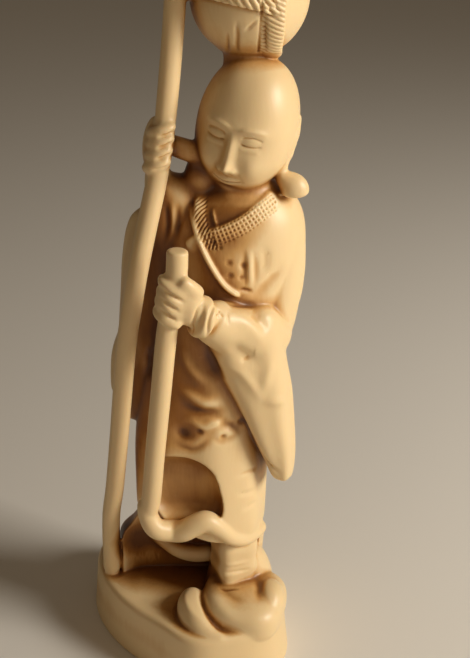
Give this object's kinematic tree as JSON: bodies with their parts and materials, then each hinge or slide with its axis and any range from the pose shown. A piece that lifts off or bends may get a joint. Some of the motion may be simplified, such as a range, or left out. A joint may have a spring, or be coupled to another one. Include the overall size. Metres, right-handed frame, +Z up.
{
  "type": "okimono",
  "caption": "Ivory-look okimono of a bald robed figure with a tall pole, a walking stick and a rope-tied bundle on the head, carved in one with its oval base.",
  "frame": {"origin": "middle of the base's flat underside", "axes": "+Z up through the figure, -Y towards the front that the figure faces, +X towards the figure's left hand"},
  "size_m": [0.0755, 0.0718, 0.2499],
  "materials": {
    "ivory": "polished ivory with a warm honey patina in the recesses"
  },
  "bodies": {
    "root": {"carving": "ivory"}
  },
  "joints": []
}
